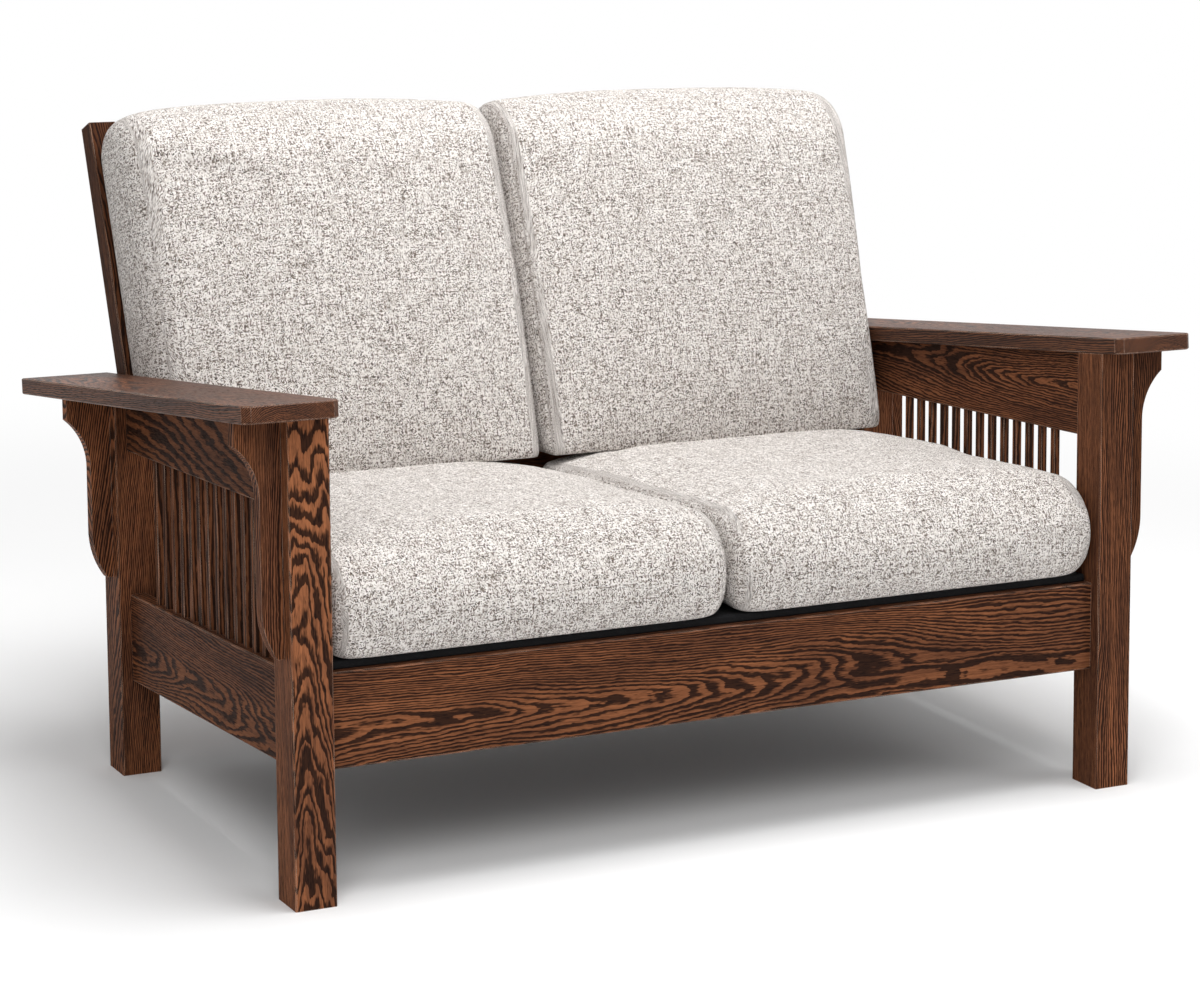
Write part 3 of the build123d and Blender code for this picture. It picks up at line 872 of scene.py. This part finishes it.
class Cushion(ClothPiece):
    """A stuffed cushion: one panel wraps round it and two end panels are sewn in."""

    def __init__(self, kind: str, hand: str, stance: Stance, plan: CushionPlan) -> None:
        """Keeps what the cushion is made from.

        Args:
            kind: "seat" or "back".
            hand: "left" or "right".
            stance: The settee's directions.
            plan: The cushion's form.
        """
        node = f"{kind}_cushion_{hand}"
        run, up = ((stance.deck_back, stance.post_up) if kind == "seat"
                   else (stance.back_rear, stance.back_up))
        super().__init__(f"{node}_cover", node, stance, run, up)
        self.hand, self.plan = hand, plan

    def solid_copy(self) -> Piece:
        """Copies the plain solid as a closed mesh.

        Returns:
            The copy.
        """
        piece = bpy.data.objects.new(self.name, bpy.data.objects[self.node].data.copy())
        bpy.context.scene.collection.objects.link(piece)
        self.activate(piece)
        bpy.ops.object.mode_set(mode="EDIT")
        bpy.ops.mesh.select_all(action="SELECT")
        bpy.ops.mesh.remove_doubles(threshold=0.00005)
        bpy.ops.mesh.normals_make_consistent(inside=False)
        bpy.ops.object.mode_set(mode="OBJECT")
        return piece

    def settle(self, points: Points) -> Points:
        """Keeps the cushion out of what it rests on and lies against.

        Args:
            points: Points in the cushion's own coordinates.

        Returns:
            The points, clear of the neighbours.
        """
        low, high = self.extent(self.node)
        kept = points.copy()
        kept[:, 0] = np.clip(kept[:, 0], low[0], high[0] + np.maximum(self.flare(points), 0))
        kept[:, 2] = np.maximum(kept[:, 2], low[2])
        kept[:, 1] = np.minimum(kept[:, 1], high[1])
        return kept

    def flare(self, points: Points) -> Points:
        """How far the outer side stands out at each point."""
        return np.zeros(len(points))

    def from_ends(self, points: Points) -> tuple[Points, Points]:
        """Measures how far points lie from the cushion's two ends.

        Args:
            points: Points in the cushion's own coordinates.

        Returns:
            The distances from its outer end and from its inner end.
        """
        low, high = self.extent(self.node)
        distances = points[:, 0] - low[0], high[0] - points[:, 0]
        return distances if self.hand == "left" else distances[::-1]

    @staticmethod
    def quarter(distance: Points, width: float) -> Points:
        """Gives the fall of a rounded edge, 1 at the end and 0 a width away."""
        return 1 - np.sqrt(1 - unit(1 - distance / width) ** 2)

    def soften(self, points: Points) -> Points:
        """Rounds the front edges and lower corners at the cushion's two ends.

        Args:
            points: Points in the cushion's own coordinates.

        Returns:
            The moved points.
        """
        plan, (outer, inner) = self.plan, self.from_ends(points)
        low, high = self.extent(self.node)
        tall = high[2] - low[2]
        height = unit((points[:, 2] - low[2]) / tall)
        front = unit((high[1] - points[:, 1]) / (high[1] - low[1]))
        moved = points.copy()
        moved[:, 1] += front * sum(
            depth * self.quarter(distance, abs(depth) * plan.round_spread)
            for depth, distance in ((plan.outer_round, outer), (plan.inner_round, inner)))
        near = self.quarter(np.minimum(outer, inner), plan.lift_width)
        moved[:, 2] += plan.lift * near * unit(1 - 2 * height)
        moved[:, 2] -= plan.drop * self.quarter(outer, plan.drop_width) * height ** 2
        roll = unit(1 - (points[:, 1] - low[1]) / plan.square_width)
        lower = unit(2 * (moved[:, 2] - low[2]) / tall)
        squared = lower ** (1 + plan.square * roll * (1 - near))
        moved[:, 2] -= (lower - squared) * tall / 2
        rear = unit((moved[:, 1] - high[1] + plan.pressed_depth) / plan.pressed_blend)
        pressed = rear * unit(2 * height - 1) * (1 - self.quarter(inner, plan.pressed_blend))
        moved[:, 2] += plan.press * pressed * (high[2] - moved[:, 2])
        return moved

    def facing(self, normals: Points, way: Vector) -> Points:
        """Says how far cloth that faces a support lies on it, from 0 for free to 1 for resting."""
        return unit((normals @ np.array(tuple(way)) - self.plan.rest_facing) / self.plan.rest_blend)

    def resting(self, normals: Points) -> Points:
        """Says where the cushion rests on what is below it and stays flat."""
        return self.facing(normals, -self.stance.post_up)

    def refit(self, points: Points) -> Points:
        """Fits the blown-up cushion to its own plain solid's reach."""
        (low, high), first, last = self.extent(self.node), points.min(0), points.max(0)
        return low + (points - first) / (last - first) * (high - low)

    def swell(self, piece: Piece) -> None:
        """Blows the slack cover up with Blender's cloth and caps how far it moves.

        Args:
            piece: The cover, before its seams are drawn in.
        """
        plan, scene = self.plan, bpy.context.scene
        rest, normals = self.read(piece.data), pull(piece.data.vertices, "normal", 3)
        corners = bell(np.abs(normals[:, 0]), plan.held_facing, plan.held_blend)
        held = np.maximum(corners, self.resting(normals))
        sewn = piece.vertex_groups.new(name="sewn")
        for index in np.nonzero(held > plan.least_hold)[0]:
            sewn.add([int(index)], float(held[index]), "REPLACE")
        cloth = piece.modifiers.new("cloth", "CLOTH")
        for name, value in vars(CoverCloth()).items():
            setattr(cloth.settings, name, value)
        cloth.settings.uniform_pressure_force = plan.pressure
        cloth.settings.effector_weights.gravity = 0
        cloth.settings.vertex_group_mass = sewn.name
        cloth.point_cache.frame_start, cloth.point_cache.frame_end = 1, plan.frames
        for number in range(1, plan.frames + 1):
            scene.frame_set(number)
        self.activate(piece)
        bpy.ops.object.modifier_apply(modifier=cloth.name)
        scene.frame_set(1)
        moved = self.read(piece.data) - rest
        length = np.linalg.norm(moved, axis=1, keepdims=True)
        self.write(piece.data, rest + moved * np.minimum(1, plan.cap / np.maximum(length, 1e-9)))
        piece.vertex_groups.clear()

    def draw_seams(self, piece: Piece) -> None:
        """Draws the seams of the end panels in and marks them for a painted shade along them in the cloth.

        Args:
            piece: The cover, after its last subdivision.
        """
        plan, points, normals = self.plan, self.read(piece.data), pull(piece.data.vertices, "normal", 3)
        own = self.local(points)
        outer, inner = self.from_ends(own)
        share = (inner < plan.inner_reach) * plan.inner_seam + (outer < plan.outer_reach) * plan.outer_seam
        weight = bell(np.abs(normals[:, 0]), plan.seam_facing, plan.seam_blend) * share
        deep, high = plan.pucker_turns
        pucker = 1 - plan.pucker + plan.pucker * np.sin(own[:, 1] * deep) * np.sin(own[:, 2] * high)
        self.write(piece.data, points - normals * (weight * pucker * plan.seam_depth)[:, None])
        # The mark carries a painted shade along the seams into the cloth's material.
        mark = piece.data.attributes.new("seam", "FLOAT", "POINT")
        mark.data.foreach_set("value", (weight ** 2).astype(np.float32))

    def way_round(self, own: Points) -> tuple[Points, float]:
        """Measures how far along the cushion's own section each point lies from its front.

        Args:
            own: Points in the cushion's own coordinates.

        Returns:
            The length round to each point, and the girth.
        """
        slices, steps = self.plan.slices, self.plan.steps
        first, last = own[:, 0].min(), own[:, 0].max()
        place = np.clip((own[:, 0] - first) / (last - first) * slices, 0, slices - 1e-6)
        number = place.astype(int)
        middles = np.array([
            (own[number == n, 1:].min(0) + own[number == n, 1:].max(0)) / 2 for n in range(slices)])
        centre = np.stack([np.interp(place - 0.5, np.arange(slices), middles[:, i]) for i in (0, 1)], 1)
        turn = np.arctan2(own[:, 2] - centre[:, 1], centre[:, 0] - own[:, 1])
        reach = np.hypot(own[:, 2] - centre[:, 1], own[:, 1] - centre[:, 0])
        grid = np.linspace(-math.pi, math.pi, steps)
        table = np.zeros((slices, steps))
        for n in range(slices):
            order = np.argsort(turn[number == n])
            radius = np.interp(grid, turn[number == n][order], reach[number == n][order], period=2 * math.pi)
            ring = np.stack([radius * np.cos(grid), radius * np.sin(grid)], 1)
            length = np.concatenate([[0], np.cumsum(np.linalg.norm(np.diff(ring, axis=0), axis=1))])
            table[n] = length - length[steps // 2]
        before = np.clip(np.floor(place - 0.5).astype(int), 0, slices - 2)
        share = unit(place - 0.5 - before)
        spot = (turn + math.pi) / (2 * math.pi) * (steps - 1)
        left = np.clip(spot.astype(int), 0, steps - 2)
        part = spot - left
        found = [table[row, left] * (1 - part) + table[row, left + 1] * part for row in (before, before + 1)]
        return found[0] * (1 - share) + found[1] * share, float((table[:, -1] - table[:, 0]).mean())

    def lay_cloth(self, piece: Piece) -> None:
        """Lays the cloth out in metres: round the cushion on the main panel, flat on the end panels.

        Args:
            piece: The finished cover.
        """
        data, own = piece.data, self.local(self.read(piece.data))
        round_about, girth = self.way_round(own)
        loops = pull(data.loops, "vertex_index", kind=int)
        starts = pull(data.polygons, "loop_start", kind=int)
        face = np.repeat(np.arange(len(starts)), pull(data.polygons, "loop_total", kind=int))
        across, along = own[loops, 0].copy(), round_about[loops].copy()
        farthest = np.maximum.reduceat(along, starts)[face]
        along[farthest - along > girth / 2] += girth
        on_end = (np.abs(pull(data.polygons, "normal", 3)[:, 0]) > self.plan.seam_facing)[face]
        across[on_end], along[on_end] = own[loops[on_end], 1], own[loops[on_end], 2]
        self.lay_out(data, np.stack([across, along], 1))

    def build(self, material: Material) -> None:
        """Makes the cushion.

        Args:
            material: Its cover's material.
        """
        plan, piece = self.plan, self.solid_copy()
        data = piece.data
        self.apply(piece, "REMESH", mode="VOXEL", voxel_size=plan.voxel, use_smooth_shade=True)
        self.apply(piece, "SMOOTH", factor=plan.smooth_factor, iterations=plan.smooth_rounds)
        self.write(data, self.world(self.soften(self.local(self.read(data)))))
        normals = pull(data.vertices, "normal", 3)
        slack = plan.slack * (1 - self.resting(normals))
        self.write(data, self.read(data) - normals * slack[:, None])
        self.swell(piece)
        self.apply(piece, "SMOOTH", factor=plan.smooth_factor, iterations=plan.calm_rounds)
        own = self.refit(self.local(self.read(data)))
        own[:, 0] += self.flare(own)
        self.write(data, self.world(self.settle(own)))
        self.apply(piece, "SUBSURF", levels=1, render_levels=1)
        self.draw_seams(piece)
        self.write(data, self.world(self.settle(self.local(self.read(data)))))
        self.lay_cloth(piece)
        shade(piece, smooth=True)
        self.hand_over(piece, material, "cushion_fabric", self.node)


class SeatCushion(Cushion):
    """A seat cushion, rolled over the front rail and under the back cushion."""

    def settle(self, points: Points) -> Points:
        """Keeps the cushion under its back cushion and in front of the back frame.

        Args:
            points: Points in the cushion's own coordinates.

        Returns:
            The points, clear of the neighbours.
        """
        kept, above = super().settle(points), self.solid(f"back_cushion_{self.hand}")
        ceiling = above[:, 2].min() - self.plan.gap_above
        lowest = above[above[:, 2] < ceiling + self.plan.gap_before / 2]
        under = kept[:, 1] > lowest[:, 1].min() - self.plan.gap_before
        kept[under, 2] = np.minimum(kept[under, 2], ceiling)
        return kept


class BackCushion(Cushion):
    """A back cushion, rolled over its top and leant against the back frame."""

    def resting(self, normals: Points) -> Points:
        """Says where the cushion sits on the seat cushion or leans on the back frame."""
        return np.maximum(super().resting(normals), self.facing(normals, self.stance.back_rear))

    def flare(self, points: Points) -> Points:
        """How far the cushion's outer side spreads above the arm.

        Args:
            points: Points in the cushion's own coordinates.

        Returns:
            The spread at each point.
        """
        low, high = self.extent(self.node)
        start = low[2] + self.plan.flare_start * (high[2] - low[2])
        rise = unit((points[:, 2] - start) / (high[2] - start))
        reach = unit((points[:, 0] - low[0]) / (high[0] - low[0]))
        return self.plan.flare * rise * reach ** 2

    def settle(self, points: Points) -> Points:
        """Keeps the cushion in front of the back frame and above the seat cushion.

        Args:
            points: Points in the cushion's own coordinates.

        Returns:
            The points, clear of the neighbours.
        """
        up, solid = self.stance.post_up, bpy.data.objects[self.node].data
        floor_height = min(vertex.co.dot(up) for vertex in solid.vertices)
        kept = super().settle(points)
        under = np.maximum(floor_height - self.world(kept) @ np.array(tuple(up)), 0)
        kept[:, 2] += under / self.stance.back_up.dot(up)
        return kept


@dataclass(frozen=True)
class DeckPlan:
    """The sizes of the deck's pad and webbing that its solids don't give."""

    rows: int = 24
    columns: int = 4
    sag: float = 0.0035
    sagging: float = 0.95
    band_thickness: float = 0.0018
    set_back: float = 0.012
    hem: float = 0.016
    side_reach: float = 0.018
    eased: float = 0.003
    fill: float = 0.9


class SeatDeck(ClothPiece):
    """What carries the cushions: bands of webbing with a thin cloth pad over them."""

    plan = DeckPlan()

    def __init__(self, name: str, node: str, stance: Stance) -> None:
        """Keeps the piece's name, the node that it replaces and the settee's directions."""
        super().__init__(name, node, stance, stance.deck_back, stance.post_up)

    def build_pad(self, material: Material) -> None:
        """Makes the deck's pad as a soft slab with eased edges and a hem.

        Args:
            material: The deck cloth.
        """
        plan, (low, high) = self.plan, self.extent(self.node)
        low -= (plan.side_reach, -plan.set_back, 0)
        high[0] += plan.side_reach
        size, middle = high - low, (high + low) / 2
        bpy.ops.mesh.primitive_cube_add(size=1.0)
        piece = bpy.context.active_object
        piece.name = self.name
        self.activate(piece)
        bpy.ops.object.mode_set(mode="EDIT")
        bpy.ops.mesh.select_all(action="SELECT")
        bpy.ops.mesh.bisect(plane_co=(0, plan.hem / size[1] - 0.5, 0), plane_no=(0, 1, 0))
        bpy.ops.object.mode_set(mode="OBJECT")
        points = self.read(piece.data) * size + middle
        hanging = (points[:, 1] < low[1] + plan.hem / 2) & (points[:, 2] < middle[2])
        points[hanging, 2] = self.extent("seat_webbing")[0][2]
        self.write(piece.data, self.world(points))
        self.apply(piece, "BEVEL", width=plan.eased, segments=3, limit_method="ANGLE")
        shade(piece, smooth=False)
        self.lay_flat(piece)
        self.hand_over(piece, material, "deck_cloth", FRAME_BODY)

    def lay_flat(self, piece: Piece) -> None:
        """Lays the cloth of a flat piece out in metres."""
        own = self.local(self.read(piece.data))[pull(piece.data.loops, "vertex_index", kind=int)]
        self.lay_out(piece.data, own[:, :2] + own[:, 2:])

    def build_webbing(self, material: Material) -> None:
        """Makes one sagging band, copies it to each place and joins the bands.

        Args:
            material: The webbing.
        """
        plan, (low, high) = self.plan, self.extent(self.node)
        sides = np.unique(np.round(self.solid(self.node)[:, 0], 5))
        low[1] += plan.set_back + plan.hem
        starts, width = sides[0::2], sides[1] - sides[0]
        bpy.ops.mesh.primitive_grid_add(x_subdivisions=plan.columns, y_subdivisions=plan.rows, size=1.0)
        bands = [bpy.context.active_object]
        flat = self.read(bands[0].data)
        share = flat[:, 1] * 2
        own = np.stack([
            starts[0] + width * (flat[:, 0] + 0.5),
            (low[1] + high[1]) / 2 + flat[:, 1] * (high[1] - low[1]),
            (low[2] + high[2]) / 2 - plan.sag * (1 - share ** 2) * (np.abs(share) < plan.sagging),
        ], 1)
        self.write(bands[0].data, self.world(own))
        for start in starts[1:]:
            self.activate(bands[0])
            bpy.ops.object.duplicate(linked=False)
            bands.append(bpy.context.active_object)
            self.write(bands[-1].data, self.world(own + (start - starts[0], 0, 0)))
        self.activate(bands[0])
        for band in bands:
            band.select_set(True)
        bpy.ops.object.join()
        piece = bpy.context.active_object
        piece.name = self.name
        self.apply(piece, "SOLIDIFY", thickness=plan.band_thickness, offset=0.0)
        self.lay_flat(piece)
        self.hand_over(piece, material, "webbing", FRAME_BODY)


@dataclass(frozen=True)
class Softbox:
    """A square softbox that looks at the settee: its place, the length of its side and its watts."""

    name: str
    place: Triple
    size: float
    power: float

    def hang(self, target: Triple = (0.0, 0.0, 0.5)) -> None:
        """Hangs the softbox.

        Args:
            target: The point that it looks at.
        """
        data = bpy.data.lights.new(self.name, "AREA")
        data.size, data.energy = self.size, self.power
        light = bpy.data.objects.new(self.name, data)
        light.location = self.place
        light.rotation_euler = (Vector(target) - Vector(self.place)).to_track_quat("-Z", "Y").to_euler()
        bpy.context.scene.collection.objects.link(light)


@dataclass(frozen=True)
class Studio:
    """A plain pale floor, soft light and the camera of the photograph."""

    camera_place: Triple = (-2.479921, -4.662559, 1.616696)
    azimuth: float = math.radians(28.273)
    dip: float = math.radians(10.933)
    roll: float = math.radians(1.253)
    lens: float = 100.848
    sensor: float = 36.0
    shift: float = -0.09
    floor_size: float = 40.0
    floor_colour: Colour = (0.94, 0.94, 0.94, 1.0)
    fade_start: float = 1.0
    fade_end: float = 3.2
    ambient: float = 0.4
    softboxes: tuple[Softbox, ...] = (
        Softbox("key_softbox", (-2.2, -3.2, 3.4), 2.2, 68.0),
        Softbox("fill_softbox", (3.4, -2.6, 2.2), 2.4, 30.0),
        Softbox("top_softbox", (0.2, -0.3, 3.6), 2.2, 116.0),
    )

    def build_camera(self) -> None:
        """Places the camera as the photograph has it."""
        data = bpy.data.cameras.new("camera")
        data.lens, data.sensor_width, data.shift_y = self.lens, self.sensor, self.shift
        data.clip_end = 100.0
        forward = Vector((math.sin(self.azimuth) * math.cos(self.dip),
                          math.cos(self.azimuth) * math.cos(self.dip), -math.sin(self.dip)))
        level = Vector((math.cos(self.azimuth), -math.sin(self.azimuth), 0))
        upright = level.cross(forward)
        right = math.cos(self.roll) * level + math.sin(self.roll) * upright
        up = math.cos(self.roll) * upright - math.sin(self.roll) * level
        camera = bpy.data.objects.new("camera", data)
        turn = Matrix((right, up, -forward)).transposed()
        camera.matrix_world = Matrix.Translation(Vector(self.camera_place)) @ turn.to_4x4()
        bpy.context.scene.collection.objects.link(camera)
        bpy.context.scene.camera = camera

    def build_floor(self) -> None:
        """Lays the floor, which fades to white away from the settee and keeps its shadow."""
        bpy.ops.mesh.primitive_plane_add(size=self.floor_size)
        floor = bpy.context.active_object
        floor.name = "floor"
        material, graph, shader = new_material("pale_floor")
        graph.fill(shader, {"Base Color": self.floor_colour, "Roughness": 0.9, "Specular IOR Level": 0.1})
        glow = graph.node("ShaderNodeEmission")
        place = graph.node("ShaderNodeTexCoord").outputs["Object"]
        far = graph.ramp(graph.vector("LENGTH", place), self.fade_start, self.fade_end)
        seen = graph.node("ShaderNodeLightPath").outputs["Is Camera Ray"]
        graph.mix_shaders(graph.times(far, seen), shader.outputs["BSDF"],
                          glow.outputs["Emission"], "Material Output")
        coat(floor, material)

    def build_world(self) -> None:
        """Gives a white background to the camera and to gloss, and a softer light to the rest."""
        world = bpy.data.worlds.new("studio")
        bpy.context.scene.world = world
        world.use_nodes = True
        graph = Graph(world.node_tree)
        shown = world.node_tree.nodes["Background"]
        graph.fill(shown, {"Color": WHITE, "Strength": 1.0})
        light = graph.node("ShaderNodeBackground", {"Color": WHITE, "Strength": self.ambient})
        path = graph.node("ShaderNodeLightPath").outputs
        sees = graph.math("MAXIMUM", path["Is Glossy Ray"], path["Is Transmission Ray"])
        graph.mix_shaders(graph.math("MAXIMUM", path["Is Camera Ray"], sees), light.outputs["Background"],
                          shown.outputs["Background"], "World Output")

    def build(self) -> None:
        """Sets the whole studio up."""
        bpy.context.scene.view_settings.view_transform = "Standard"
        self.build_camera()
        self.build_floor()
        self.build_world()
        for softbox in self.softboxes:
            softbox.hang()


TWEED = WovenFinish(
    name="oatmeal_tweed",
    pale=(0.87, 0.833, 0.802, 1.0),
    middle=(0.49, 0.44, 0.402, 1.0),
    deep=(0.14, 0.104, 0.082, 1.0),
    fleck=(0.05, 0.036, 0.03, 1.0),
    yarn=0.00165,
    run=3.0,
    slub=0.0005,
    streak=0.3,
    deep_share=0.32,
    fleck_share=0.11,
)
# Black cloth, darkened further as painted shade on the strip under the seat cushions' front edge.
DECK_CLOTH_AND_SHADE = WovenFinish(
    name="black_deck_cloth",
    pale=(0.012, 0.012, 0.013, 1.0),
    middle=(0.009, 0.009, 0.01, 1.0),
    deep=(0.006, 0.006, 0.007, 1.0),
    fleck=(0.02, 0.02, 0.021, 1.0),
    sheen=0.0,
    yarn=0.0008,
    run=40.0,
    slub=0.0001,
    bump=0.0002,
)
WEBBING = WovenFinish(
    name="woven_webbing",
    pale=(0.05, 0.045, 0.042, 1.0),
    middle=(0.035, 0.031, 0.029, 1.0),
    deep=(0.02, 0.018, 0.017, 1.0),
    fleck=(0.11, 0.1, 0.09, 1.0),
    yarn=0.0016,
    run=60.0,
    slub=0.0002,
    bump=0.0005,
)
PLANS = {
    "seat_left": CushionPlan(square=1.1, press=0.75),
    "seat_right": CushionPlan(square=1.1, press=0.75, outer_round=-0.014, inner_round=0.01),
    "back_left": CushionPlan(outer_round=0.075, inner_round=0.004, lift=0.004, drop=0.02,
                             inner_seam=1.0, outer_seam=0.0),
    "back_right": CushionPlan(outer_round=-0.026, inner_round=0.006, lift=0.002, drop=0.008,
                              inner_seam=1.0, outer_seam=0.4, flare=0.024),
}


def main() -> None:
    """Dresses the settee."""
    logging.basicConfig(level=logging.INFO, format="%(message)s")
    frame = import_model()
    stance = Stance.from_frame(frame)
    oak_grain_group()
    edge_wear_and_highlight_group()
    weave_group()
    Studio().build()
    Joinery(frame, stance, OakFinish()).dress_all()
    Hardware(frame, SteelFinish()).dress_screws()
    SeatDeck("seat_webbing_bands", "seat_webbing", stance).build_webbing(WEBBING.material())
    SeatDeck("deck_pad_cover", "deck_pad", stance).build_pad(DECK_CLOTH_AND_SHADE.material())
    tweed = TWEED.material()
    for hand in ("left", "right"):
        SeatCushion("seat", hand, stance, PLANS[f"seat_{hand}"]).build(tweed)
        BackCushion("back", hand, stance, PLANS[f"back_{hand}"]).build(tweed)


if __name__ == "__main__":
    main()
